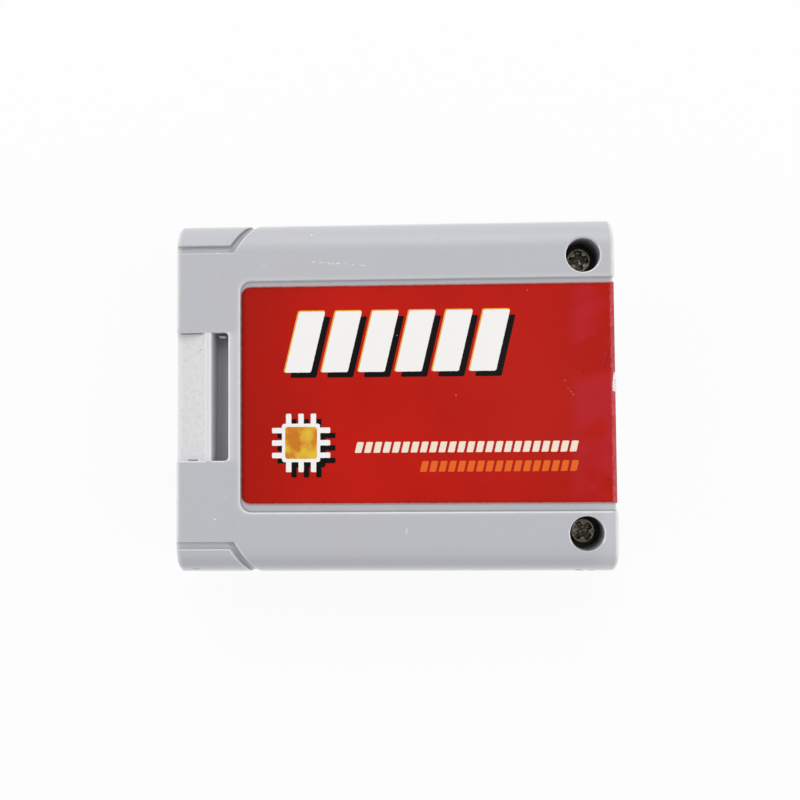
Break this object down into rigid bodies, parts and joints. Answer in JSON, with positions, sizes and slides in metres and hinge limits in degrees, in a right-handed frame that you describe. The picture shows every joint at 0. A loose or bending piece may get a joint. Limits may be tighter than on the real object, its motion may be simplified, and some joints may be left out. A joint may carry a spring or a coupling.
{
  "type": "console memory card",
  "caption": "Flat plug-in memory card in a pale grey moulded case, with an open edge connector at one end, a latch pocket, sunk screws and a red label folded over the other end.",
  "frame": {"origin": "centre of the card's box, on its rear face", "axes": "+X from the connector mouth to the screw end, +Y across the card, +Z from the rear face to the label face"},
  "size_m": [0.0618, 0.05, 0.016],
  "materials": {
    "case_plastic": "pale grey moulded plastic, finely textured, lightly scuffed",
    "label_print": "red printed paper with a clear film, worn white at the fold",
    "screw_steel": "dark oxide-finished steel, worn bright in places",
    "board_laminate": "green solder mask on glass laminate",
    "contact_gold": "gold plating with fine wipe marks",
    "chip_moulding": "black moulding compound",
    "lead_tin": "dull tin plating",
    "cell_steel": "brushed stainless steel can",
    "tab_nickel": "nickel strip with weld spots",
    "solder": "bright solder",
    "resistor_black": "black glass over ceramic",
    "capacitor_tan": "tan ceramic"
  },
  "bodies": {
    "root": {"front_shell": "case_plastic", "rear_shell": "case_plastic", "front_label": "label_print", "case_screws": "screw_steel", "circuit_board": "board_laminate", "front_contacts": "contact_gold", "rear_contacts": "contact_gold", "memory_chip": "chip_moulding", "memory_chip_leads": "lead_tin", "supervisor_chip": "chip_moulding", "supervisor_chip_leads": "lead_tin", "coin_cell": "cell_steel", "cell_positive_tab": "tab_nickel", "cell_negative_tab": "tab_nickel", "tab_solder_joints": "solder", "chip_resistors": "resistor_black", "chip_capacitors": "capacitor_tan", "chip_terminals": "lead_tin", "isolation_diode": "chip_moulding", "isolation_diode_leads": "lead_tin"}
  },
  "joints": []
}
